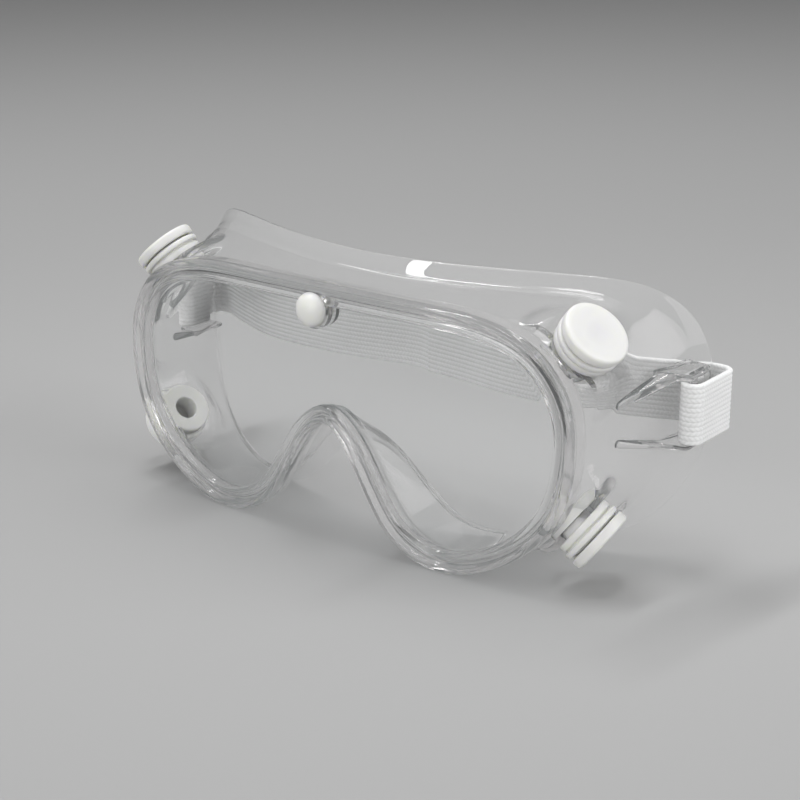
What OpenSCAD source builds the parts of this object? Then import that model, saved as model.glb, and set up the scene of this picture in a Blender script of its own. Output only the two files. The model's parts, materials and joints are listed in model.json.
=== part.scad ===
// Splash safety goggles: one soft clear shell that grips a gently curved lens, four indirect vents,
// a brow stud and an elastic head strap looped round a lug on each temple.
// X runs across the face, Y runs from the lens back to the face, Z is up.
// The origin is at the middle of the resting plane. The modules are drawn with y = 0 at the front
// plane of the rim, and place() moves them to the origin.

/* [Lens rim] */
// Width of the rim band outside the lens opening
rim_w = 4.8; // [4:0.1:6]
// Depth of the rim bead, front to back
rim_depth = 8; // [7.5:0.5:9]
// Radius that the whole front is bent to
front_bend_r = 700; // [400:10:1500]
// Thickness of the lens
lens_t = 2; // [1.2:0.1:2]

/* [Soft shell] */
// Thickness of the shell wall
wall_t = 2; // [1.6:0.1:2.4]
// Distance from the front plane to the brow crease
brow_depth = 19; // [17:0.5:24]
// How fast the face edge sweeps back towards the temples
face_sweep = 0.004; // [0.003:0.0005:0.005]
// How far the face flange flares out from the crease
flange_flare = 3.6; // [2:0.2:5]
// How far the face flange reaches back from the crease
flange_reach = 3.4; // [2:0.2:5]
// Thickness of the face flange
flange_t = 1; // [0.8:0.1:1.4]

/* [Vents] */
// Radius of the vent cap
cap_r = 9.3; // [8:0.1:9.4]
// Radius of the louvre disc under the cap
louvre_r = 9.3; // [8.5:0.1:9.5]
// Radius of the air hole through the bushing
air_r = 3.4; // [2.5:0.1:3.6]
// Radius of the post that the cap turns on
post_r = 3; // [2:0.1:3.2]
// Radial clearance between cap and post
post_gap = 0.06; // [0.04:0.01:0.1]

/* [Brow stud] */
// Radius of the domed head
stud_r = 4.9; // [4:0.1:5.3]
// Radius of the shank through the tab and lens
shank_r = 1.9; // [1.5:0.1:2]

/* [Strap] */
// Width of the elastic
strap_w = 17; // [14:0.5:17]
// Thickness of the elastic
strap_t = 1.6; // [1.2:0.1:1.6]

/* [Hidden] */
$fn = 48;
hull_fn = 16;         // facets of the lug's small rounds
seat_fn = 32;         // facets of the pockets in the soft wall
steps = 4;            // stations between two outline points
eps = 0.05;

clear_pvc = [0.86, 0.93, 0.92, 0.45];
clear_lens = [0.9, 0.95, 0.96, 0.35];
white_pp = [0.95, 0.95, 0.93];
white_knit = [0.97, 0.97, 0.97];

// Right half of the lens opening, from the brow round to the nose, as [x, z]
opening_half = [
    [0, 67.6], [24, 67.5], [46, 67], [61.5, 63], [70, 53], [72, 41], [69, 25],
    [58, 12.5], [41, 5.3], [27.5, 9], [20, 18.5], [13, 30], [6.5, 36.8], [0, 39.3]
];
// Right half of the crease where the wall meets the face flange
crease_half = [
    [0, 74.8], [26, 75], [51, 75.2], [73, 73.6], [84, 64], [87, 46], [84.5, 28],
    [73, 10.5], [50, 3.3], [33, 4.6], [23, 12], [15, 20], [7.5, 25.5], [0, 27.5]
];

// Vent seats: where the vent axis meets the outside of the wall, and the lean of the axis
top_vent_at = [71.5, 18.3, 64.8];
top_vent_lean = [0, 42.5, -12];
low_vent_at = [72.8, 18.8, 16.7];
low_vent_lean = [0, 127.5, 14];
seat_flat_r = 9.8;    // the wall is flat inside this radius
seat_fade_r = 17;     // and untouched outside this one
seat_trim = 0.1;      // depth that each face of the seat is trimmed flat by
pocket_out = 14;      // reach of the pocket outside the wall
pocket_in = 9;        // reach of the pocket inside the wall

// Strap lug, right side: bar between two plates outside the temple wall
strap_z = 36.9;       // lower edge of the strap
lug_gap = 0.7;        // strap edge to plate
lug_plate_t = 1.6;
bar_in = 89.9;
bar_out = 92.6;
bar_front = 41;
bar_back = 49.5;
bar_round = 1.1;
lug_front = 37;
lug_root = [83, 84.6]; // x of the plate's inner corners, front and back
lug_corner = 1.5;     // radius of the plate's outer corners
rib_from = [79.5, 24.1]; // where each rib starts, in the temple wall
rib_r = 1.1;
rib_low_z = 39;       // height of the lower rib's start
rib_high_z = 49.5;    // height of the upper rib's start
rib_to = [84, 88];    // x of the rib's two ends on the plate
loop_out = 94;        // middle of the strap outside the bar
loop_in = 88.7;       // middle of the strap inside the bar
tail_back = 48.2;     // where the tucked tail stops
turn_at = [90.5, 56]; // centre of the turn behind the flange
band_end = 87;        // x where the loose band takes over from the fixed end
band_y = 59.5;
band_gap = 0.6;

// Middle line of the loose band, seen from above
band_points = [
    [-band_end, band_y - 0.4], [-76, 54], [-58, 47.8], [-32, 47.6], [-8, 51.6],
    [14, 48.6], [34, 46.2], [58, 47.8], [76, 54], [band_end, band_y - 0.4]
];

stud_at = [-3.7, 66.2]; // x and z of the stud, a little to the left of the middle
tab_r = 5.5;
lip_front = 0.3;
groove_front = 2.6;
groove_back = groove_front + lens_t + 2 * eps;
lip_back = groove_back + 1.8;
groove_d = 3.4;

collar_r = 8.7;
collar_t = 1.9;
neck_r = 5.9;
sleeve_r = 4.5;
louvre_low = 2.7;
louvre_high = 4.3;
post_top = 6.8;
cap_low = 4.9;
cap_high = 7.9;
cap_round = 1.1;
cap_hollow = 1.4;     // depth of the groove in the cap's underside
cap_skirt = 1.4;      // thickness of the wall round that groove
button_r = 7.7;
button_t = 3;
clip_r = 2.8;
clip_t = 1.5;
clip_y = lip_back + 0.45;
head_h = 3.6;         // height of the stud's dome

// Depth of the whole object, from the stud's dome to the back of the strap
front_y = lip_front - eps - head_h;
rear_y = turn_at[1] + loop_out - turn_at[0] + strap_t / 2;
origin_y = (front_y + rear_y) / 2;

// ---- curves ----

function flip(half) = [for (i = [len(half) - 2 : -1 : 1]) [-half[i][0], half[i][1]]];
function closed(half) = concat(half, flip(half));

// Point on a smooth curve through b and c, with a and d as the neighbours
function smooth(a, b, c, d, t) =
    0.5 * (2 * b + (c - a) * t + (2 * a - 5 * b + 4 * c - d) * t * t
    + (3 * b - a - 3 * c + d) * t * t * t);

function ring(points) = [
    for (i = [0 : len(points) - 1], k = [0 : steps - 1])
        smooth(points[(i + len(points) - 1) % len(points)], points[i],
            points[(i + 1) % len(points)], points[(i + 2) % len(points)], k / steps)
];

function path(points) = concat(
    [for (i = [0 : len(points) - 2], k = [0 : steps - 1])
        smooth(points[max(i - 1, 0)], points[i], points[i + 1],
            points[min(i + 2, len(points) - 1)], k / steps)],
    [points[len(points) - 1]]
);

// Outward normals of a clockwise closed ring
function side_of(v) = [-v[1], v[0]] / norm(v);
function normals(loop) = [
    for (i = [0 : len(loop) - 1])
        side_of(loop[(i + 1) % len(loop)] - loop[(i + len(loop) - 1) % len(loop)])
];

function bend(x) = front_bend_r - sqrt(front_bend_r * front_bend_r - x * x);
function face(x) = brow_depth + face_sweep * x * x;

opening = ring(closed(opening_half));
opening_n = normals(opening);
crease = ring(closed(crease_half));
crease_n = normals(crease);
stations = len(opening);

// ---- soft shell ----

// Unit vector of an axis that leans lean[1] from vertical and then turns lean[2] about Z
function lean_axis(lean) = [
    sin(lean[1]) * cos(lean[2]), sin(lean[1]) * sin(lean[2]), cos(lean[1])
];
function mirrored(v) = [-v[0], v[1], v[2]];

seats = [
    [top_vent_at, lean_axis(top_vent_lean)],
    [mirrored(top_vent_at), mirrored(lean_axis(top_vent_lean))],
    [low_vent_at, lean_axis(low_vent_lean)],
    [mirrored(low_vent_at), mirrored(lean_axis(low_vent_lean))]
];

function fade(r) =
    r <= seat_flat_r ? 1 : r >= seat_fade_r ? 0
    : 0.5 + 0.5 * cos(180 * (r - seat_flat_r) / (seat_fade_r - seat_flat_r));

// Moves a wall point onto the flat seat of a vent near it; depth is its place in the wall
function seated(p, depth, k = 0) =
    k == len(seats) ? p
    : let (
        a = seats[k][1],
        v = p - seats[k][0],
        h = v * a,
        r = norm(v - h * a)
    ) seated(h > -20 ? p - a * (h - depth) * fade(r) : p, depth, k + 1);

// The section of the shell, as [share of rim_w, offset, place from rim to crease, depth back from the
// rim, depth back from the crease]
section = [
    [-1, 0.1, 0, 1.6, 0], [-1, 0.6, 0, 0.7, 0], [-0.55, 0, 0, lip_front + 0.2, 0], [-0.22, 0, 0, 0.2, 0],
    [0, -0.7, 0, -0.6, 0], [0, 0.3, 0, -0.9, 0], [0, 1.1, 0, 0, 0], [0, 1.4, 0, 2.4, 0],
    [0, 1.2, 0, rim_depth - 1.6, 0], [0, 0.5, 0, rim_depth - 0.5, 0], [0, 0, 0, rim_depth, 0],
    [0, 0, 0.14, rim_depth, 0], [0, 0, 0.3, rim_depth, 0], [0, 0, 0.46, rim_depth, 0],
    [0, 0, 0.62, rim_depth, 0], [0, 0, 0.8, rim_depth, 0], [0, 0, 0.96, rim_depth, 0],
    [0, 0.7, 1, rim_depth, 0.3],
    [0, flange_flare, 1, rim_depth, flange_reach],
    [0, flange_flare - 0.3, 1, rim_depth, flange_reach + flange_t],
    [0, -0.6, 1, rim_depth, 1.5], [0, -wall_t, 0.96, rim_depth, 0.4],
    [0, -wall_t, 0.8, rim_depth, 0], [0, -wall_t, 0.62, rim_depth, 0], [0, -wall_t, 0.46, rim_depth, 0],
    [0, -wall_t, 0.3, rim_depth, 0], [0, -wall_t, 0.14, rim_depth, 0],
    [0, -wall_t, 0, rim_depth + 0.8, 0], [-1, 1.6, 0, lip_back + 0.2, 0], [-1, 0.6, 0, lip_back - 0.5, 0],
    [-1, 0.5, 0, groove_back, 0], [-1, groove_d, 0, groove_back, 0],
    [-1, groove_d, 0, groove_front, 0], [-1, 0.1, 0, groove_front, 0]
];

// The rim band narrows over the nose, where the opening dips
function nose(i) = let (p = opening[i]) exp(-pow(p[0] / 17, 2)) * (p[1] < 50 ? 1 : 0);
function band_w(i) = rim_w - 1.2 * nose(i);

function shell_point(i, q) =
    let (
        off = q[0] * band_w(i) + q[1],
        front = opening[i] + opening_n[i] * (band_w(i) + off),
        back = crease[i] + crease_n[i] * off,
        s = q[2],
        x = front[0] * (1 - s) + back[0] * s,
        z = front[1] * (1 - s) + back[1] * s,
        y = (bend(front[0]) + q[3]) * (1 - s) + (face(back[0]) + q[4]) * s
    ) s > 0 && s < 1 ? seated([x, y, z], q[1]) : [x, y, z];

module swept_shell() {
    m = len(section);
    points = [for (i = [0 : stations - 1], q = section) shell_point(i, q)];
    faces = [
        for (i = [0 : stations - 1], j = [0 : m - 1])
            let (
                i2 = (i + 1) % stations,
                j2 = (j + 1) % m
            ) each [
                [i * m + j, i * m + j2, i2 * m + j2],
                [i * m + j, i2 * m + j2, i2 * m + j]
            ]
    ];
    polyhedron(points = points, faces = faces, convexity = 10);
}

module place() {
    translate([0, -origin_y, 0]) children();
}

module at_vent(seat, lean) {
    translate(seat) rotate(lean) children();
}

// The space that one vent takes up: pockets on both sides of the wall and the hole between them
module seat_cut() {
    translate([0, 0, -seat_trim]) cylinder(r = louvre_r + 0.3, h = pocket_out, $fn = seat_fn);
    translate([0, 0, seat_trim - wall_t - pocket_in])
        cylinder(r = button_r + 0.3, h = pocket_in, $fn = seat_fn);
    cylinder(r = neck_r + eps, h = 12, center = true);
}

module brow_tab(y_front, y_back) {
    translate([stud_at[0], y_front, stud_at[1]]) rotate([-90, 0, 0])
        cylinder(r = tab_r, h = y_back - y_front);
}

// Hole through the rim's tabs and the lens for the stud's shank
module stud_hole() {
    translate([stud_at[0], -5, stud_at[1]]) rotate([-90, 0, 0]) cylinder(r = shank_r + eps, h = 20);
}

module lug_plate(z) {
    translate([0, 0, z]) linear_extrude(lug_plate_t) hull() {
        translate([bar_out - 1.2, lug_front + 2.5]) circle(lug_corner, $fn = hull_fn);
        translate([bar_out - 1.2, bar_back - 0.8]) circle(lug_corner, $fn = hull_fn);
        translate([lug_root[1], bar_back + 0.4]) circle(1, $fn = hull_fn);
        translate([lug_root[0], lug_front]) circle(1, $fn = hull_fn);
    }
}

module lug_bar(low, high) {
    translate([0, 0, low + 0.6]) linear_extrude(high - low - 0.6) hull() {
        for (x = [bar_in + bar_round, bar_out - bar_round], y = [bar_front + bar_round, bar_back - bar_round])
            translate([x, y]) circle(bar_round, $fn = hull_fn);
    }
}

module lug_rib(front_z, plate_z) {
    hull() {
        translate([rib_from[0], rib_from[1], front_z]) sphere(rib_r, $fn = 12);
        translate([rib_to[0], lug_front + 1, plate_z]) cube([0.5, 2, lug_plate_t]);
        translate([rib_to[1], lug_front + 1.6, plate_z]) cylinder(r = 1, h = lug_plate_t, $fn = hull_fn);
    }
}

module strap_lug() {
    low = strap_z - lug_gap - lug_plate_t;
    high = strap_z + strap_w + lug_gap;
    lug_plate(low);
    lug_plate(high);
    lug_bar(low, high + lug_plate_t - 0.6);
    lug_rib(rib_low_z, low);
    lug_rib(rib_high_z, high);
}

module frame_shell() {
    color(clear_pvc) difference() {
        union() {
            swept_shell();
            brow_tab(lip_front + 0.4, groove_front - 0.2);
            brow_tab(groove_back + 0.2, lip_back - 0.3);
            for (side = [0, 1]) mirror([side, 0, 0]) strap_lug();
        }
        for (side = [0, 1]) mirror([side, 0, 0]) {
            at_vent(top_vent_at, top_vent_lean) seat_cut();
            at_vent(low_vent_at, low_vent_lean) seat_cut();
        }
        stud_hole();
        translate([-150, -20, -20]) cube([300, 120, 20]);
    }
}

// ---- lens ----

module lens() {
    outline = [for (i = [0 : stations - 1]) opening[i] + opening_n[i] * (groove_d - 0.2)];
    color(clear_lens) difference() {
        intersection() {
            translate([0, 15, 0]) rotate([90, 0, 0]) linear_extrude(30) polygon(outline);
            translate([0, groove_front + eps + front_bend_r, -5]) difference() {
                cylinder(r = front_bend_r, h = 100, $fn = 720);
                translate([0, 0, -1]) cylinder(r = front_bend_r - lens_t, h = 102, $fn = 720);
            }
        }
        stud_hole();
    }
}

// ---- brow stud ----

module brow_stud() {
    color(white_pp) translate([stud_at[0], lip_front - eps, stud_at[1]]) rotate([90, 0, 0]) {
        rotate_extrude() intersection() {
            scale([1, head_h / stud_r]) circle(stud_r);
            square([stud_r, head_h]);
        }
        translate([0, 0, -clip_y - clip_t]) cylinder(r = shank_r, h = clip_y + clip_t + 0.1);
    }
}

module brow_stud_clip() {
    color(white_pp) translate([stud_at[0], clip_y, stud_at[1]]) rotate([-90, 0, 0]) difference() {
        cylinder(r = clip_r, h = clip_t);
        translate([0, 0, -1]) cylinder(r = shank_r + eps, h = clip_t + 2);
    }
}

// ---- vents, drawn with the seat at z = 0 and the outside up ----

module vent_bushing() {
    sleeve_top = 1.2;
    low = -wall_t - button_t;
    color(white_pp) rotate_extrude() {
        translate([air_r, low]) square([button_r - 1 - air_r, button_t]);
        translate([button_r - 1.01, low + 1]) square([1.01, button_t - 1]);
        translate([button_r - 1, low + 1]) intersection() {
            circle(1);
            translate([0, -1]) square(1);
        }
        translate([air_r, low]) square([sleeve_r - air_r, sleeve_top - low]);
    }
}

module vent_housing() {
    slot_w = 4;
    color(white_pp) difference() {
        union() {
            cylinder(r = collar_r, h = collar_t);
            translate([0, 0, eps - wall_t]) cylinder(r = neck_r, h = wall_t + louvre_high - 0.2);
            translate([0, 0, louvre_low]) cylinder(r = louvre_r, h = louvre_high - louvre_low);
            translate([0, 0, louvre_high - 0.5]) cylinder(r = post_r, h = post_top - louvre_high + 0.5);
        }
        translate([0, 0, -wall_t - 1]) cylinder(r = sleeve_r + eps, h = wall_t + 1 + collar_t + 1);
        for (turn = [0, 90])
            rotate([0, 0, turn]) translate([-12, -slot_w / 2, collar_t + 0.2]) cube([24, slot_w, 0.7]);
    }
}

module vent_cap() {
    hub_r = post_r + 1.8;
    color(white_pp) rotate_extrude() difference() {
        union() {
            translate([0, cap_low]) square([cap_r, cap_high - cap_round - cap_low]);
            translate([0, cap_low]) square([cap_r - cap_round, cap_high - cap_low]);
            translate([cap_r - cap_round, cap_high - cap_round]) circle(cap_round);
        }
        translate([-1, cap_low - 1]) square([post_r + post_gap + 1, post_top + 0.1 - cap_low + 1]);
        translate([hub_r, cap_low - 1]) square([cap_r - cap_skirt - hub_r, cap_hollow + 1]);
    }
}

module vent_piece(kind) {
    if (kind == "bushing") vent_bushing();
    if (kind == "housing") vent_housing();
    if (kind == "cap") vent_cap();
}

module placed_vent(kind, low, left) {
    mirror([left ? 1 : 0, 0, 0])
        at_vent(low ? low_vent_at : top_vent_at, low ? low_vent_lean : top_vent_lean)
            vent_piece(kind);
}

// ---- strap ----

// Closed outline of a ribbon of the strap's thickness along a middle line
function ribbon_n(line, i) =
    side_of(line[min(i + 1, len(line) - 1)] - line[max(i - 1, 0)]) * strap_t / 2;
function ribbon(line) = concat(
    [for (i = [0 : len(line) - 1]) line[i] + ribbon_n(line, i)],
    [for (i = [len(line) - 1 : -1 : 0]) line[i] - ribbon_n(line, i)]
);

module strap_along(line) {
    color(white_knit) translate([0, 0, strap_z]) linear_extrude(strap_w) polygon(ribbon(line));
}

module strap_band() {
    strap_along(path(band_points));
}

// Fixed end: round behind the flange, forward outside the bar, round it and back inside
module strap_end() {
    turn_r = loop_out - turn_at[0];
    loop_r = (loop_out - loop_in) / 2;
    loop_mid = loop_in + loop_r;
    strap_along(concat(
        [[band_end + band_gap, band_y - 0.25]],
        [for (a = [90 : -15 : 0]) turn_at + turn_r * [cos(a), sin(a)]],
        [for (a = [0 : -15 : -180]) [loop_mid, bar_front + 1] + loop_r * [cos(a), sin(a)]],
        [[loop_in, tail_back]]
    ));
}

place() frame_shell();
place() lens();
place() brow_stud();
place() brow_stud_clip();
place() placed_vent("bushing", false, false);  // vent_bushing_top_right
place() placed_vent("housing", false, false);  // vent_housing_top_right
place() placed_vent("cap", false, false);  // vent_cap_top_right
place() placed_vent("bushing", false, true);  // vent_bushing_top_left
place() placed_vent("housing", false, true);  // vent_housing_top_left
place() placed_vent("cap", false, true);  // vent_cap_top_left
place() placed_vent("bushing", true, false);  // vent_bushing_low_right
place() placed_vent("housing", true, false);  // vent_housing_low_right
place() placed_vent("cap", true, false);  // vent_cap_low_right
place() placed_vent("bushing", true, true);  // vent_bushing_low_left
place() placed_vent("housing", true, true);  // vent_housing_low_left
place() placed_vent("cap", true, true);  // vent_cap_low_left
place() strap_band();
place() strap_end();  // strap_end_right
place() mirror([1, 0, 0]) strap_end();  // strap_end_left
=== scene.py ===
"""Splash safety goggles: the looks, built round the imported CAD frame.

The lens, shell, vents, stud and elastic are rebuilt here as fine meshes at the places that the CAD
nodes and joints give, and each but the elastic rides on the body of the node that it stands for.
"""

import json
import math

import bmesh
import bpy
import numpy as np
from mathutils import Matrix, Vector


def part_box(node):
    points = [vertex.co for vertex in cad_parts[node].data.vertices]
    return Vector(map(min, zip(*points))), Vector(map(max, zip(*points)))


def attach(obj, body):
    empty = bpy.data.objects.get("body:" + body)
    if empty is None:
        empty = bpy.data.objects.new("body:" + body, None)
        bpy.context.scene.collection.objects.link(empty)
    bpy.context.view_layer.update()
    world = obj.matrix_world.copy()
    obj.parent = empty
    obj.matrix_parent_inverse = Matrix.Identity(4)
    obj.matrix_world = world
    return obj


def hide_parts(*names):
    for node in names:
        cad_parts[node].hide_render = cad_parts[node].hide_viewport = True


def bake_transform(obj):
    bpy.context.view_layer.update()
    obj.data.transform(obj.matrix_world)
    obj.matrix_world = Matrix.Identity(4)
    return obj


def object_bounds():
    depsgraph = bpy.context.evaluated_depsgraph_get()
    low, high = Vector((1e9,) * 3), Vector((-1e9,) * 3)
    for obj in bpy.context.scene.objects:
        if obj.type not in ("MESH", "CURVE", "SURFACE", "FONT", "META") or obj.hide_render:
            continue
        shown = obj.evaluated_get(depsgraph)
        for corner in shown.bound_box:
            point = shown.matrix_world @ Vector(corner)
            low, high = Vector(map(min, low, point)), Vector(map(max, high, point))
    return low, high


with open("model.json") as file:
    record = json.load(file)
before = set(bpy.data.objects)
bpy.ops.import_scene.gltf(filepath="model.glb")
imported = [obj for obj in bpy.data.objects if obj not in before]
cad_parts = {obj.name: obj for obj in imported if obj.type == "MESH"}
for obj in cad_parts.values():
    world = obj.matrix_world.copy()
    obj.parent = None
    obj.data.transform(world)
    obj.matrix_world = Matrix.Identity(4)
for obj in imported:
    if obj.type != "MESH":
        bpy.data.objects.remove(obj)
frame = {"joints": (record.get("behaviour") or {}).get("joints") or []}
CAD_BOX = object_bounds()

MM = 0.001
LENS_T = 2.0             # thickness of the lens, mm
GROOVE_FRONT = 2.6       # front face of the lens groove behind the rim's front plane
GROOVE_BACK = 4.7        # back face of the lens groove
LIP_BACK = 6.5           # back face of the lip behind the lens
GROOVE_D = 3.4           # how far the groove reaches into the rim
RIM_W = 4.8              # width of the rim band
RIM_DEPTH = 8.0          # depth of the rim, front to back
WALL_T = 2.0             # thickness of the soft wall
BEND_R = 700.0           # the front is bent to this radius
BROW_DEPTH = 19.0        # front plane to brow crease
FACE_SWEEP = 0.004       # how fast the crease runs back towards the temples
SEAT_FLAT_R = 9.8        # the wall is flat inside this radius round a vent
SEAT_FADE_R = 17.0       # and untouched outside this one
SEAT_REACH = 20.0        # how far inside the wall a seat still counts, mm

# y of the rim's front plane in the frame, from where the CAD lens starts
FRONT_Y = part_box("lens")[0].y / MM - GROOVE_FRONT - 0.05
# Middle and radius of the stud's head, mm
STUD_X, _, STUD_Z = (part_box("brow_stud")[0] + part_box("brow_stud")[1]) / 2 / MM
STUD_R = (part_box("brow_stud")[1].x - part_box("brow_stud")[0].x) / 2 / MM
STUD_H = 3.55            # height of the stud's dome
SHANK_R = 1.9            # radius of the stud's shank
SHANK_END = -8.4         # end of the shank behind the head
TAB_R = 5.5              # radius of the soft tabs that the stud goes through
TABS = ((0.7, 2.45), (4.9, 6.2))   # front and back of each tab behind the rim plane


# ---------------------------------------------------------------- curves

# Right half of the lens opening from the brow round to the nose, as (x, z) in mm
OPENING_HALF = [
    (0, 67.6), (24, 67.5), (46, 67), (61.5, 63), (70, 53), (72, 41), (69, 25),
    (58, 12.5), (41, 5.3), (27.5, 9), (20, 18.5), (13, 30), (6.5, 36.8), (0, 39.3),
]
# Right half of the crease between wall and face flange
CREASE_HALF = [
    (0, 74.8), (26, 75), (51, 75.2), (73, 73.6), (84, 64), (87, 46), (84.5, 28),
    (73, 10.5), (50, 3.3), (33, 4.6), (23, 12), (15, 20), (7.5, 25.5), (0, 27.5),
]
SPAN_STEPS = 16          # stations between two outline points


def catmull(a, b, c, d, t):
    """Point on a smooth curve through b and c."""
    return 0.5 * (2 * b + (c - a) * t + (2 * a - 5 * b + 4 * c - d) * t**2
                  + (3 * b - a - 3 * c + d) * t**3)


def ring(half):
    """Closed smooth outline, clockwise seen from the front, through a half and its mirror."""
    p = np.array(half + [(-x, z) for x, z in half[-2:0:-1]], float)
    t = np.arange(SPAN_STEPS)[None, :, None] / SPAN_STEPS
    near = [np.roll(p, k, axis=0)[:, None, :] for k in (1, 0, -1, -2)]
    loop = catmull(*near, t).reshape(-1, 2)
    reach = np.arange(-SPAN_STEPS, SPAN_STEPS + 1)
    weight = np.exp(-0.5 * (reach / (SPAN_STEPS * 0.3)) ** 2)
    weight /= weight.sum()
    return sum(w * np.roll(loop, k, axis=0) for k, w in zip(reach, weight))


def outward(loop):
    """Unit normals that point out of a clockwise ring."""
    along = np.roll(loop, -1, axis=0) - np.roll(loop, 1, axis=0)
    along /= np.linalg.norm(along, axis=1)[:, None]
    return np.stack([-along[:, 1], along[:, 0]], axis=1)


def bend(x):
    return BEND_R - np.sqrt(BEND_R**2 - x**2)


def open_path(points, step):
    """Smooth path through the points, resampled evenly."""
    p = np.array(points, float)
    padded = np.vstack([2 * p[0] - p[1], p, 2 * p[-1] - p[-2]])
    t = np.linspace(0, 1, 24, endpoint=False)[:, None]
    fine = [catmull(*padded[i:i + 4], t) for i in range(len(p) - 1)]
    fine = np.vstack(fine + [p[-1:]])
    far = np.concatenate([[0], np.cumsum(np.linalg.norm(np.diff(fine, axis=0), axis=1))])
    count = max(2, round(far[-1] / step) + 1)
    places = np.linspace(0, far[-1], count)
    return np.stack([np.interp(places, far, fine[:, k]) for k in range(fine.shape[1])], axis=1), places


# ---------------------------------------------------------------- meshes


def new_object(name, verts, faces, angle=40):
    """A mesh object from points in mm, smooth but for edges sharper than angle."""
    mesh = bpy.data.meshes.new(name)
    mesh.from_pydata([tuple(v) for v in np.asarray(verts) * MM], [], faces)
    mesh.validate()
    ob = bpy.data.objects.new(name, mesh)
    bpy.context.scene.collection.objects.link(ob)
    face_out(ob)
    smooth(ob, angle)
    return ob


def face_out(ob):
    bm = bmesh.new()
    bm.from_mesh(ob.data)
    bmesh.ops.recalc_face_normals(bm, faces=bm.faces)
    bm.to_mesh(ob.data)
    bm.free()


def smooth(ob, angle=40):
    ob.data.shade_smooth()
    ob.data.set_sharp_from_angle(angle=math.radians(angle))


def grid_faces(rows, cols, close_rows, close_cols):
    """Quads over a grid of points, in row-major order."""
    last_r = rows if close_rows else rows - 1
    last_c = cols if close_cols else cols - 1
    return [
        (i * cols + j, i * cols + (j + 1) % cols,
         ((i + 1) % rows) * cols + (j + 1) % cols, ((i + 1) % rows) * cols + j)
        for i in range(last_r) for j in range(last_c)
    ]


def apply_modifiers(ob):
    deps = bpy.context.evaluated_depsgraph_get()
    mesh = bpy.data.meshes.new_from_object(ob.evaluated_get(deps))
    ob.modifiers.clear()
    ob.data = mesh


def combine(ob, other, operation):
    """Boolean of two closed meshes; the other one is used up."""
    mod = ob.modifiers.new("join", "BOOLEAN")
    mod.operation = operation
    mod.solver = "MANIFOLD"
    mod.object = other
    apply_modifiers(ob)
    bpy.data.objects.remove(other)


def rounded(corners, steps=5):
    """2-D outline with round corners, from (x, y, radius) corners."""
    out = []
    n = len(corners)
    for i, (x, y, r) in enumerate(corners):
        p = np.array((x, y), float)
        a = np.array(corners[i - 1][:2], float) - p
        b = np.array(corners[(i + 1) % n][:2], float) - p
        la, lb = np.linalg.norm(a), np.linalg.norm(b)
        if r <= 0 or la < 1e-9 or lb < 1e-9:
            out.append(p)
            continue
        turn = math.acos(np.clip(a @ b / la / lb, -1, 1))
        cut = min(r / math.tan(turn / 2), la * 0.49, lb * 0.49)
        for t in np.linspace(0, 1, steps + 1):
            out.append(p + a / la * cut * (1 - t) ** 2 + b / lb * cut * t**2)
    return np.array(out)


def lathe(name, corners, turns=96, angle=40):
    """Turns a closed (radius, height) outline with round corners about the z axis."""
    line = rounded(corners)
    angles = np.linspace(0, 2 * math.pi, turns, endpoint=False)
    verts = [(r * math.cos(a), r * math.sin(a), z) for a in angles for r, z in line]
    ob = new_object(name, verts, grid_faces(turns, len(line), True, True), angle)
    bm = bmesh.new()
    bm.from_mesh(ob.data)
    bmesh.ops.remove_doubles(bm, verts=bm.verts, dist=1e-7)
    bmesh.ops.dissolve_degenerate(bm, edges=bm.edges, dist=1e-7)
    bm.to_mesh(ob.data)
    bm.free()
    smooth(ob, angle)
    return ob


def hull(name, points):
    """Convex hull of points in mm."""
    bm = bmesh.new()
    for p in points:
        bm.verts.new(Vector(p) * MM)
    result = bmesh.ops.convex_hull(bm, input=bm.verts)
    spare = result["geom_interior"] + result["geom_unused"]
    loose = {v for v in spare if isinstance(v, bmesh.types.BMVert)}
    bmesh.ops.delete(bm, geom=list(loose), context="VERTS")
    mesh = bpy.data.meshes.new(name)
    bm.to_mesh(mesh)
    bm.free()
    ob = bpy.data.objects.new(name, mesh)
    bpy.context.scene.collection.objects.link(ob)
    smooth(ob, 50)
    return ob


def ball(centre, r, count=10):
    """Points on a small sphere, for hulls."""
    c = np.array(centre, float)
    pts = []
    for i in range(count + 1):
        polar = math.pi * i / count
        for j in range(2 * count):
            a = math.pi * j / count
            pts.append(c + r * np.array([math.sin(polar) * math.cos(a),
                                         math.sin(polar) * math.sin(a), math.cos(polar)]))
    return pts


# ---------------------------------------------------------------- shell

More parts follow.
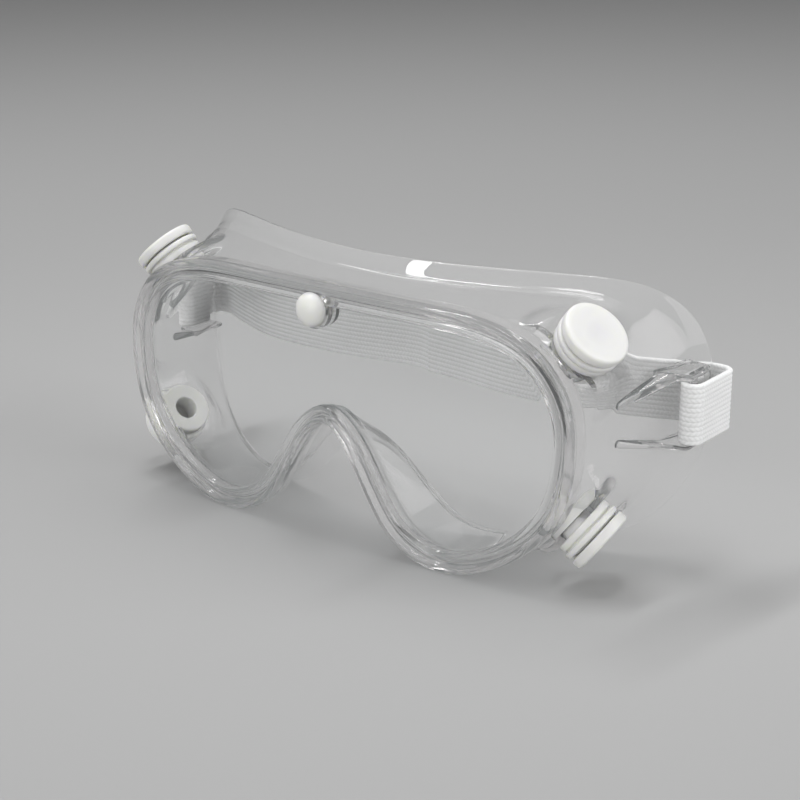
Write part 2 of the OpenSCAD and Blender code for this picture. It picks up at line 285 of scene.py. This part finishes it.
# Corners of the shell's section: share of the rim band, offset, place from rim to crease,
# depth behind the rim plane, depth behind the crease, and how much of the corner is rounded off
SECTION = [
    (-1, 0.1, 0, GROOVE_FRONT, 0, 0.15), (-1, 0.1, 0, 0.9, 0, 0.7), (-1, 1.1, 0, 0.0, 0, 0.9),
    (-0.55, 0.1, 0, 0.9, 0, 0.9), (-0.25, 0, 0, 0.8, 0, 0.8), (0, -0.6, 0, -0.75, 0, 0.9),
    (0, 0.9, 0, -0.7, 0, 0.8), (0, 1.55, 0, 0.6, 0, 1.0), (0, 1.35, 0, 6.9, 0, 0.8),
    (0, 0.5, 0, 8.0, 0, 0.6), (0, 0, 0, 8.3, 0, 0.4),
    "outer wall",
    (0, 0.5, 1, RIM_DEPTH, 0.1, 1.3), (0, 3.6, 1, RIM_DEPTH, 3.4, 0.35),
    (0, 3.3, 1, RIM_DEPTH, 4.4, 0.35), (0, -0.6, 1, RIM_DEPTH, 1.6, 1.5),
    "inner wall",
    (0, -WALL_T, 0, RIM_DEPTH + 0.8, 0, 0.9), (-1, 1.7, 0, LIP_BACK + 0.2, 0, 0.7),
    (-1, 0.6, 0, LIP_BACK - 0.5, 0, 0.5), (-1, 0.5, 0, GROOVE_BACK, 0, 0.15),
    (-1, GROOVE_D, 0, GROOVE_BACK, 0, 0.1), (-1, GROOVE_D, 0, GROOVE_FRONT, 0, 0.1),
]
WALL_ROWS = 30
CORNER_STEPS = 4

opening = ring(OPENING_HALF)
opening_n = outward(opening)
crease = ring(CREASE_HALF)
crease_n = outward(crease)
stations = len(opening)


def vent_seats():
    """Seat centre in mm and outward axis of each vent, from the caps' joints."""
    return {
        j["child"]: (np.array(j["pos_m"]) / MM, np.array(j["axis"]) / np.linalg.norm(j["axis"]))
        for j in frame["joints"] if j["child"].startswith("cap_")
    }


SEATS = vent_seats()


def band_width():
    """Rim band width at each station: it narrows where the opening dips over the nose."""
    nose = np.exp(-((opening[:, 0] / 17) ** 2)) * (opening[:, 1] < 50)
    return RIM_W - 1.2 * nose


def section_point(share, offset, place, from_rim, from_crease):
    """This point of the section at every station, in mm in the frame."""
    band = band_width()
    off = share * band + offset
    front = opening + opening_n * (band + off)[:, None]
    back = crease + crease_n * off[:, None]
    x, z = (front * (1 - place) + back * place).T
    y_front = bend(front[:, 0]) + from_rim
    y_back = BROW_DEPTH + FACE_SWEEP * back[:, 0] ** 2 + from_crease
    y = y_front * (1 - place) + y_back * place + FRONT_Y
    return np.stack([x, y, z], axis=1)


def seated(p, depth):
    """Presses a wall surface flat round each vent; depth is its place in the wall."""
    for at, axis in SEATS.values():
        v = p - at
        h = v @ axis
        r = np.linalg.norm(v - h[:, None] * axis, axis=1)
        share = np.clip((r - SEAT_FLAT_R) / (SEAT_FADE_R - SEAT_FLAT_R), 0, 1)
        fade = (0.5 + 0.5 * np.cos(math.pi * share)) * (h > -SEAT_REACH)
        p = p - axis * ((h - depth) * fade)[:, None]
    return p


def wall_rows(depth, places, from_rim):
    return [seated(section_point(0, depth, s, from_rim, 0), depth) for s in places]


def shell_rows():
    """The section's points, one row of stations each."""
    marks = []
    for q in SECTION:
        if q == "outer wall":
            marks += [(row, 0) for row in wall_rows(0, np.linspace(0.08, 0.94, WALL_ROWS), RIM_DEPTH)]
        elif q == "inner wall":
            marks += [(row, 0) for row in wall_rows(-WALL_T, np.linspace(0.94, 0.1, WALL_ROWS), RIM_DEPTH)]
        else:
            marks.append((section_point(*q[:5]), q[5]))
    rows = []
    for i, (p, cut) in enumerate(marks):
        if not cut:
            rows.append(p)
            continue
        a = marks[i - 1][0] - p
        b = marks[(i + 1) % len(marks)][0] - p
        la = np.linalg.norm(a, axis=1)[:, None]
        lb = np.linalg.norm(b, axis=1)[:, None]
        for t in np.linspace(0, 1, CORNER_STEPS + 1):
            rows.append(p + a / la * np.minimum(cut, 0.48 * la) * (1 - t) ** 2
                        + b / lb * np.minimum(cut, 0.48 * lb) * t**2)
    return rows


# Strap lug in mm: plates as (height, thickness), bar as (x0, x1, y0, y1)
LUG = {
    "low": (35.5, 1.1), "high": (54.5, 2.0), "bar": (89.9, 92.6, 41.0, 49.5), "round": 1.1, "front": 37.0,
}


def circle_points(x, y, r, z, n=16):
    return [(x + r * math.cos(a), y + r * math.sin(a), z) for a in np.arange(n) * 2 * math.pi / n]


def flat_hull(name, rounds, z_low, z_high, edge=0.3):
    """Plate over round corners (x, y, r), with softened edges, between two heights."""
    pts = []
    for x, y, r in rounds:
        for z, inset in ((z_low, edge), (z_low + edge, 0), (z_high - edge, 0), (z_high, edge)):
            pts += circle_points(x, y + FRONT_Y, r - inset, z)
    return hull(name, pts)


def lug_pieces(name):
    x0, x1, y0, y1 = LUG["bar"]
    for z, t in (LUG["low"], LUG["high"]):
        yield flat_hull(name, [(x1 - 2.0, LUG["front"] + 2.8, 1.8), (x1 - 2.0, y1 - 1.2, 1.8),
                               (84.6, y1 + 0.4, 1.0), (83, LUG["front"], 1.0)], z, z + t)
    r = LUG["round"]
    yield flat_hull(name, [(x, y, r) for x in (x0 + r, x1 - r) for y in (y0 + r, y1 - r)],
                    LUG["low"][0] + 0.6, LUG["high"][0] + 1.0)
    for z_wall, (z, t) in ((39, LUG["low"]), (49.5, LUG["high"])):
        pts = ball((79.5, 24.1 + FRONT_Y, z_wall), 1.2, 8)
        for x, y, rr in ((84.25, LUG["front"] + 2, 0.7), (88, LUG["front"] + 1.6, 1.0)):
            for level in (z + 0.1, z + t - 0.1):
                pts += circle_points(x, y + FRONT_Y, rr, level)
        yield hull(name, pts)


def mirror_x(ob):
    ob.data.transform(Matrix.Scale(-1, 4, (1, 0, 0)))
    ob.data.flip_normals()


def tool_cylinder(at, axis, r, low, high, turns=64):
    """Closed cylinder along an axis, for cutting."""
    rim = [(r * math.cos(a), r * math.sin(a)) for a in np.arange(turns) * 2 * math.pi / turns]
    verts = [(x, y, low) for x, y in rim] + [(x, y, high) for x, y in rim]
    faces = [tuple(range(turns))[::-1], tuple(range(turns, 2 * turns))]
    faces += [(i, (i + 1) % turns, turns + (i + 1) % turns, turns + i) for i in range(turns)]
    ob = new_object("tool", verts, faces)
    place_on(ob, at, axis)
    return ob


def place_on(ob, at, axis):
    """Moves a mesh drawn about z so that z runs along axis from the point at, in mm."""
    turn = Vector((0, 0, 1)).rotation_difference(Vector(axis)).to_matrix().to_4x4()
    ob.data.transform(Matrix.Translation(Vector(at) * MM) @ turn)


def shank_hole():
    """Tool for the stud's hole, through the tabs and the lens."""
    return tool_cylinder((STUD_X, FRONT_Y, STUD_Z), (0, 1, 0), SHANK_R + 0.05, -5, 15)


# Room for one vent as (radius, from, to): pockets outside and inside the wall, and the hole
VENT_CUTS = ((9.6, 0, 14), (8.0, -10.9, -WALL_T), (5.95, -6, 6))


def build_shell():
    """The swept section with lugs and tabs added, cut for the stud and vents and flat below."""
    rows = shell_rows()
    verts = np.stack(rows, axis=1).reshape(-1, 3)
    ob = new_object("shell", verts, grid_faces(stations, len(rows), True, True), 60)
    for side in (0, 1):
        for piece in lug_pieces("lug"):
            if side:
                mirror_x(piece)
            combine(ob, piece, "UNION")
    for y0, y1 in TABS:
        tab = tool_cylinder((STUD_X, FRONT_Y, STUD_Z), (0, 1, 0), TAB_R, y0, y1)
        combine(ob, tab, "UNION")
    combine(ob, shank_hole(), "DIFFERENCE")
    for at, axis in SEATS.values():
        for r, low, high in VENT_CUTS:
            combine(ob, tool_cylinder(at, axis, r, low, high), "DIFFERENCE")
    floor_cut = hull("tool", [(x, y, z) for x in (-150, 150) for y in (-150, 150) for z in (-20, 0)])
    combine(ob, floor_cut, "DIFFERENCE")
    smooth(ob, 38)
    return ob


# ---------------------------------------------------------------- lens


def build_lens():
    """Bent sheet whose edge lies in the groove, with rounded edges."""
    reach = GROOVE_D - 0.2
    front = GROOVE_FRONT + 0.05
    soft = 0.3
    profile = [(reach - soft, front), (reach, front + soft), (reach, front + LENS_T - soft),
               (reach - soft, front + LENS_T)]
    shares = np.linspace(1, 0, 14)[1:]
    rim = [(opening + opening_n * off, y) for off, y in profile]
    centre = opening.mean(axis=0)
    rows = []
    for s in shares[::-1]:
        rows.append(((rim[0][0] - centre) * s + centre, front))
    rows += rim
    for s in shares:
        rows.append(((rim[-1][0] - centre) * s + centre, front + LENS_T))
    pts = []
    for loop, y in rows:
        pts.append(np.stack([loop[:, 0], bend(loop[:, 0]) + y + FRONT_Y, loop[:, 1]], axis=1))
    verts = np.stack(pts, axis=1).reshape(-1, 3)
    ob = new_object("lens_panel", verts, grid_faces(stations, len(pts), True, False), 60)
    bm = bmesh.new()
    bm.from_mesh(ob.data)
    bmesh.ops.remove_doubles(bm, verts=bm.verts, dist=1e-6)
    bm.to_mesh(ob.data)
    bm.free()
    face_out(ob)
    combine(ob, shank_hole(), "DIFFERENCE")
    smooth(ob, 60)
    return ob


# ---------------------------------------------------------------- stud


def build_stud():
    dome = [(STUD_R * math.sin(a), STUD_H * math.cos(a)) for a in np.linspace(0, math.pi / 2, 18)]
    corners = [(0, STUD_H, 0)] + [(r, z, 0) for r, z in dome[1:]]
    corners += [(STUD_R - 0.2, -0.05, 0.1), (SHANK_R, -0.05, 0.2), (SHANK_R, SHANK_END, 0.3),
                (0, SHANK_END, 0)]
    ob = lathe("brow_stud_dome", corners)
    place_on(ob, (STUD_X, FRONT_Y + 0.25, STUD_Z), (0, -1, 0))
    return ob


def build_stud_clip():
    inner, outer, thick = SHANK_R + 0.05, 2.8, 1.5
    corners = [(inner, 0, 0.1), (outer, 0, 0.2), (outer, thick, 0.35), (inner, thick, 0.2)]
    ob = lathe("brow_stud_ring", corners)
    place_on(ob, (STUD_X, FRONT_Y + LIP_BACK + 0.45, STUD_Z), (0, 1, 0))
    return ob


# ---------------------------------------------------------------- vents


# Outlines are (radius, height, corner radius) in mm, with the seat on the wall at height 0
AIR_R = 3.4              # air hole through the bushing
SLEEVE_R = 4.5           # bushing's sleeve
BUTTON_R = 7.7           # bushing's button inside the wall
COLLAR_R = 8.7           # housing's collar on the wall
NECK_R = 7.9             # neck between collar and louvre
LOUVRE_R = 9.2           # louvre disc
LOUVRE_Z = (2.6, 4.3)    # bottom and top of the louvre disc
RING_R, RING_Z = 7.7, 4.75   # ring on the louvre, under the cap
POST_R, POST_Z = 3.0, 6.7    # post that the cap turns on
CAP_R = 9.3              # cap
CAP_LOW, CAP_TOP = 4.9, 7.9  # bottom and top of the cap
CAP_HOLLOW_Z = 6.3       # roof of the groove in the cap's underside


def build_bushing(name):
    low, inside, top = -5.0, -2.05, 1.2
    corners = [(AIR_R, low, 0.3), (BUTTON_R, low, 0.9), (BUTTON_R, inside, 0.25),
               (SLEEVE_R, inside, 0.1), (SLEEVE_R, top, 0.2), (AIR_R, top, 0.2)]
    return lathe(name, corners)


def build_housing(name):
    bore, plug = SLEEVE_R + 0.05, 5.85
    bore_top = 3.8
    corners = [(bore, -1.95, 0.1), (plug, -1.95, 0.15), (plug, -0.02, 0.05),
               (COLLAR_R, -0.02, 0.5), (COLLAR_R, 1.95, 0.7), (NECK_R, 2.0, 0.2),
               (NECK_R, LOUVRE_Z[0], 0.2), (LOUVRE_R, LOUVRE_Z[0], 0.6),
               (LOUVRE_R, LOUVRE_Z[1], 0.7), (RING_R, LOUVRE_Z[1], 0.2), (RING_R, RING_Z, 0.2),
               (POST_R, RING_Z, 0.1), (POST_R, POST_Z, 0.3), (0, POST_Z, 0),
               (0, bore_top, 0), (bore, bore_top, 0.3)]
    return lathe(name, corners)


def build_cap(name):
    skirt, hub, bore = 7.9, 4.8, POST_R + 0.06
    bore_top = 6.9
    corners = [(0, 7.75, 0), (5.5, 7.78, 2.0), (7.6, CAP_TOP, 0.8), (CAP_R, 7.8, 1.4),
               (CAP_R, CAP_LOW, 0.8), (skirt, CAP_LOW, 0.3), (skirt, CAP_HOLLOW_Z, 0.3),
               (hub, CAP_HOLLOW_Z, 0.3), (hub, CAP_LOW, 0.25), (bore, CAP_LOW, 0.15),
               (bore, bore_top, 0.1), (0, bore_top, 0)]
    return lathe(name, corners)


# ---------------------------------------------------------------- strap

STRAP_Z = 36.9           # lower edge of the elastic
STRAP_W = 17.0
STRAP_T = 1.6
STRAP_STEP = 0.28        # spacing of the mesh along the elastic
CORDS = 13               # ribs across the width
STITCH = 1.15            # length of one stitch along the elastic
# Middle line of each half of the band as (x, y), from the back of the loop to the turn
BAND_HALVES = {
    1: [(0, 49.9), (14, 48.6), (34, 46.2), (58, 47.8), (76, 54), (87, 59.1)],
    -1: [(0, 50.6), (-8, 51.6), (-32, 47.6), (-58, 47.8), (-76, 54), (-87, 59.1)],
}
TURN_AT = (90.5, 56.0)   # middle of the turn behind the lug
TURN_R = 3.5
LOOP_X = 91.35           # middle of the bend round the lug's bar
LOOP_R = 2.65
LOOP_Y = 42.0
TAIL_Y = 48.2            # where the tucked tail ends


def strap_line(side):
    """Middle line of half the elastic, from the back round the turn and the lug's bar to the tail."""
    pts = list(BAND_HALVES[side])
    for a in range(75, -1, -15):
        pts.append((side * (TURN_AT[0] + TURN_R * math.cos(math.radians(a))),
                    TURN_AT[1] + TURN_R * math.sin(math.radians(a))))
    pts.append((side * 94, 49))
    for a in range(0, -181, -20):
        pts.append((side * (LOOP_X + LOOP_R * math.cos(math.radians(a))),
                    LOOP_Y + LOOP_R * math.sin(math.radians(a))))
    pts.append((side * 88.7, TAIL_Y))
    return open_path(pts, STRAP_STEP)


def build_strap(name, side):
    """Half of the knitted elastic, with its ribs and stitches in the mesh."""
    line, far = strap_line(side)
    along = np.gradient(line, axis=0)
    along /= np.linalg.norm(along, axis=1)[:, None]
    across = np.stack([-along[:, 1], along[:, 0]], axis=1)
    cols = CORDS * 6
    v = np.linspace(-1, 1, cols + 1)
    cord = np.abs(np.sin(np.pi * (v + 1) / 2 * CORDS))
    edge = np.clip((1 - np.abs(v)) / 0.06, 0, 1)
    lean = np.where(np.floor((v + 1) / 2 * CORDS).astype(int) % 2 == 0, 1.0, -1.0)
    phase = 2 * np.pi * far[:, None] / STITCH
    stitch = 0.5 + 0.5 * np.sin(phase + lean[None, :] * 2 * np.pi * (v[None, :] * CORDS / 2))
    height = 0.5 * STRAP_T - 0.29 + cord[None, :] ** 0.7 * (0.17 + 0.1 * stitch)
    height = height * np.sqrt(1 - (1 - edge[None, :]) ** 2) + 0.02
    z = STRAP_Z + STRAP_W / 2 * (1 + v)
    rows = []
    for sign, order in ((1, slice(None)), (-1, slice(None, None, -1))):
        h = sign * height[:, order]
        x = line[:, :1] + across[:, :1] * h
        y = line[:, 1:] + across[:, 1:] * h + FRONT_Y
        rows.append(np.stack([x, y, np.broadcast_to(z[order], x.shape)], axis=2))
    verts = np.concatenate(rows, axis=1)
    n, m = verts.shape[:2]
    faces = grid_faces(n, m, False, True)
    faces += [tuple(range(m))[::-1], tuple(range((n - 1) * m, n * m))]
    ob = new_object(name, verts.reshape(-1, 3), faces, 60)
    # Painted shade: a mask that is low in the grooves between the cords and stitches and high on their
    # tops, for darkening the elastic's colour in the recesses
    groove = np.concatenate([cord, cord[::-1]])
    groove = (0.25 + 0.75 * groove[None, :]) * np.concatenate([stitch, stitch[:, ::-1]], axis=1) ** 0.4
    layer = ob.data.attributes.new("knit_groove_shade", "FLOAT", "POINT")
    layer.data.foreach_set("value", groove.ravel().astype(np.float32))
    return ob


# ---------------------------------------------------------------- materials


def node_material(name):
    mat = bpy.data.materials.new(name)
    mat.use_nodes = True
    tree = mat.node_tree
    return mat, tree, tree.nodes["Principled BSDF"]


def link(tree, a, out, b, into):
    tree.links.new(a.outputs[out], b.inputs[into])


def add_noise(tree, scale, detail=3.0):
    coords = tree.nodes.new("ShaderNodeTexCoord")
    noise = tree.nodes.new("ShaderNodeTexNoise")
    noise.inputs["Scale"].default_value = scale
    noise.inputs["Detail"].default_value = detail
    link(tree, coords, "Object", noise, "Vector")
    return noise


def add_bump(tree, shader, source, out, strength, distance):
    bump = tree.nodes.new("ShaderNodeBump")
    bump.inputs["Strength"].default_value = strength
    bump.inputs["Distance"].default_value = distance
    link(tree, source, out, bump, "Height")
    link(tree, bump, "Normal", shader, "Normal")
    return bump


def let_lamps_through(tree, shader, face_on, edge_on):
    """Lamps pass through clear plastic: nearly all of their light face on, less of it at the edges."""
    path = tree.nodes.new("ShaderNodeLightPath")
    clear = tree.nodes.new("ShaderNodeBsdfTransparent")
    weight = tree.nodes.new("ShaderNodeLayerWeight")
    weight.inputs["Blend"].default_value = 0.35
    tint = tree.nodes.new("ShaderNodeMix")
    tint.data_type = "RGBA"
    tint.inputs[6].default_value = (*face_on, 1)
    tint.inputs[7].default_value = (*edge_on, 1)
    link(tree, weight, "Facing", tint, 0)
    tree.links.new(tint.outputs[2], clear.inputs["Color"])
    mix = tree.nodes.new("ShaderNodeMixShader")
    link(tree, path, "Is Shadow Ray", mix, 0)
    tree.links.new(shader.outputs[0], mix.inputs[1])
    tree.links.new(clear.outputs[0], mix.inputs[2])
    tree.links.new(mix.outputs[0], tree.nodes["Material Output"].inputs["Surface"])


def clear_pvc():
    mat, tree, shader = node_material("clear_pvc")
    shader.inputs["Base Color"].default_value = (1.0, 1.0, 1.0, 1)
    shader.inputs["IOR"].default_value = 1.33
    shader.inputs["Specular IOR Level"].default_value = 0.85
    shader.inputs["Transmission Weight"].default_value = 0.95
    shader.inputs["Roughness"].default_value = 0.015
    noise = add_noise(tree, 90.0, 2.0)
    add_bump(tree, shader, noise, "Fac", 0.03, 0.0006)
    # Haze in the volume: the thick rim comes out milkier than the thin wall
    haze = tree.nodes.new("ShaderNodeVolumeScatter")
    haze.inputs["Color"].default_value = (0.9, 1.0, 0.99, 1)
    haze.inputs["Density"].default_value = 32.0
    link(tree, haze, "Volume", tree.nodes["Material Output"], "Volume")
    let_lamps_through(tree, shader, (0.99, 0.995, 0.995), (0.86, 0.88, 0.88))
    return mat


def clear_lens():
    mat, tree, shader = node_material("clear_lens")
    shader.inputs["Base Color"].default_value = (0.985, 0.99, 0.99, 1)
    shader.inputs["IOR"].default_value = 1.5
    shader.inputs["Transmission Weight"].default_value = 1.0
    shader.inputs["Roughness"].default_value = 0.0
    let_lamps_through(tree, shader, (0.99, 0.99, 0.99), (0.88, 0.9, 0.9))
    return mat


def white_plastic():
    mat, tree, shader = node_material("white_plastic")
    noise = add_noise(tree, 900.0, 2.0)
    shader.inputs["Base Color"].default_value = (0.79, 0.79, 0.765, 1)
    shader.inputs["Roughness"].default_value = 0.38
    shader.inputs["IOR"].default_value = 1.5
    shader.inputs["Subsurface Weight"].default_value = 0.6
    shader.inputs["Subsurface Radius"].default_value = (1.0, 1.05, 0.75)
    shader.inputs["Subsurface Scale"].default_value = 0.003
    add_bump(tree, shader, noise, "Fac", 0.08, 0.0002)
    return mat


def white_elastic():
    mat, tree, shader = node_material("white_elastic")
    # Painted shade: the elastic's base colour runs from grey 0.8 in the grooves between cords and stitches
    # to white 0.97 on their tops
    height = tree.nodes.new("ShaderNodeAttribute")
    height.attribute_name = "knit_groove_shade"
    ramp = tree.nodes.new("ShaderNodeMix")
    ramp.data_type = "RGBA"
    ramp.inputs[6].default_value = (0.8, 0.8, 0.8, 1)
    ramp.inputs[7].default_value = (0.97, 0.97, 0.97, 1)
    link(tree, height, "Fac", ramp, 0)
    tree.links.new(ramp.outputs[2], shader.inputs["Base Color"])
    shader.inputs["Roughness"].default_value = 0.85
    shader.inputs["Sheen Weight"].default_value = 0.25
    shader.inputs["Sheen Roughness"].default_value = 0.4
    shader.inputs["Subsurface Weight"].default_value = 0.7
    shader.inputs["Subsurface Radius"].default_value = (1, 1, 1)
    shader.inputs["Subsurface Scale"].default_value = 0.0025
    fuzz = add_noise(tree, 4000.0, 3.0)
    add_bump(tree, shader, fuzz, "Fac", 0.3, 0.0002)
    return mat


def backdrop_paint():
    mat, tree, shader = node_material("backdrop_paint")
    shader.inputs["Base Color"].default_value = (0.42, 0.42, 0.42, 1)
    shader.inputs["Roughness"].default_value = 0.9
    shader.inputs["Specular IOR Level"].default_value = 0.1
    return mat


# ---------------------------------------------------------------- stage


def add_camera():
    """Three quarters from the front, on the +X side and a little above."""
    centre = (CAD_BOX[0] + CAD_BOX[1]) / 2
    aim_offset = Vector((0.00866, -0.00493, -0.00297))
    distance = 0.514
    aim = centre + aim_offset
    azimuth, elevation = math.radians(37.5), math.radians(18.9)
    back = Vector((math.sin(azimuth) * math.cos(elevation), -math.cos(azimuth) * math.cos(elevation),
                   math.sin(elevation)))
    data = bpy.data.cameras.new("camera")
    data.lens = 81.72
    data.sensor_width = 36
    data.clip_start = 0.01
    cam = bpy.data.objects.new("camera", data)
    cam.location = aim + back * distance
    cam.rotation_euler = back.to_track_quat("Z", "Y").to_euler()
    bpy.context.scene.collection.objects.link(cam)
    bpy.context.scene.camera = cam


def add_backdrop():
    """Floor that curves up into a wall all round."""
    flat_r, curve_r, wall_h, gap = 1.5, 0.5, 0.55, 0.0003
    line = [(0.0, -gap), (flat_r, -gap)]
    line += [(flat_r + curve_r * math.sin(a), curve_r * (1 - math.cos(a)) - gap)
             for a in np.linspace(0, math.pi / 2, 24)[1:]]
    line.append((flat_r + curve_r, wall_h))
    turns = 96
    verts = [(0, 0, -gap / MM)]
    for r, z in line[1:]:
        verts += [(r / MM * math.cos(a), r / MM * math.sin(a), z / MM)
                  for a in np.arange(turns) * 2 * math.pi / turns]
    faces = [(0, 1 + (k + 1) % turns, 1 + k) for k in range(turns)]
    rings = grid_faces(len(line) - 1, turns, False, True)
    faces += [tuple(i + 1 for i in f) for f in rings]
    ob = new_object("backdrop", verts, faces)
    ob.data.materials.append(backdrop_paint())


def add_area(name, at, aim, size, power):
    data = bpy.data.lights.new(name, "AREA")
    data.shape = "RECTANGLE"
    data.size, data.size_y = size
    data.energy = power
    ob = bpy.data.objects.new(name, data)
    ob.location = at
    ob.rotation_euler = (Vector(at) - Vector(aim)).to_track_quat("Z", "Y").to_euler()
    bpy.context.scene.collection.objects.link(ob)


def add_spot(name, at, aim, cone, radius, power):
    data = bpy.data.lights.new(name, "SPOT")
    data.spot_size = math.radians(cone)
    data.spot_blend = 1.0
    data.shadow_soft_size = radius
    data.energy = power
    ob = bpy.data.objects.new(name, data)
    ob.location = at
    ob.rotation_euler = (Vector(at) - Vector(aim)).to_track_quat("Z", "Y").to_euler()
    bpy.context.scene.collection.objects.link(ob)


def add_lights():
    """Soft boxes above, in front and at the side, a strip, a pool on the goggles and a sky."""
    add_area("top_box", (-0.25, 0.35, 1.3), (0, 0, 0.02), (1.1, 0.7), 2.6)
    add_area("front_box", (0.1, -1.4, 0.5), (0, 0, 0.03), (1.3, 0.8), 11.0)
    add_area("side_box", (1.15, 0.42, 0.55), (0, 0, 0.05), (1.0, 1.1), 9.5)
    add_area("strip_box", (-0.45, 0.05, 1.0), (0, 0, 0.05), (0.9, 0.07), 4.5)
    add_spot("pool", (0.0, 0.04, 1.4), (0.03, 0.02, 0), 22, 0.2, 24.0)
    world = bpy.data.worlds.new("world")
    bpy.context.scene.world = world
    world.use_nodes = True
    tree = world.node_tree
    sky = tree.nodes["Background"]
    sky.inputs["Color"].default_value = (1, 1, 1, 1)
    coords = tree.nodes.new("ShaderNodeTexCoord")
    split = tree.nodes.new("ShaderNodeSeparateXYZ")
    # The sky is a little brighter at the horizon than overhead
    glow = tree.nodes.new("ShaderNodeMapRange")
    for field, value in (("From Min", 0.0), ("From Max", 1.0), ("To Min", 0.33), ("To Max", 0.24)):
        glow.inputs[field].default_value = value
    link(tree, coords, "Generated", split, "Vector")
    link(tree, split, "Z", glow, "Value")
    link(tree, glow, "Result", sky, "Strength")


# ---------------------------------------------------------------- assembly


def finish_piece(ob, material, slot, body, *nodes):
    ob.data.materials.clear()
    ob.data.materials.append(material)
    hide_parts(*nodes)
    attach(ob, body)


add_camera()
add_backdrop()
add_lights()
scene = bpy.context.scene
scene.view_settings.view_transform = "Standard"
# The clear materials already let lamps through, so refracted light would count twice
scene.cycles.caustics_refractive = False
scene.cycles.caustics_reflective = False
CLEAR_BOUNCES = 24       # the clear layers of rim, lens and lugs lie many deep
scene.cycles.max_bounces = CLEAR_BOUNCES
scene.cycles.transmission_bounces = CLEAR_BOUNCES
scene.cycles.transparent_max_bounces = CLEAR_BOUNCES

pvc, polycarbonate, plastic, elastic = clear_pvc(), clear_lens(), white_plastic(), white_elastic()

finish_piece(build_shell(), pvc, "clear_pvc", "goggles", "frame_shell")
finish_piece(build_lens(), polycarbonate, "clear_lens", "goggles", "lens")
finish_piece(build_stud(), plastic, "white_plastic", "goggles", "brow_stud")
finish_piece(build_stud_clip(), plastic, "white_plastic", "goggles", "brow_stud_clip")

for cap_body, (seat_at, seat_axis) in SEATS.items():
    corner = cap_body.removeprefix("cap_")
    for kind, build, body in (("bushing", build_bushing, "goggles"), ("housing", build_housing, "goggles"),
                              ("cap", build_cap, cap_body)):
        piece = build(f"{kind}_{corner}")
        place_on(piece, seat_at, seat_axis)
        finish_piece(piece, plastic, "white_plastic", body, f"vent_{kind}_{corner}")

for hand, side in (("right", 1), ("left", -1)):
    piece = build_strap(f"elastic_{hand}", side)
    piece.data.materials.append(elastic)
    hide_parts(f"strap_end_{hand}", "strap_band")
    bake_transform(piece)
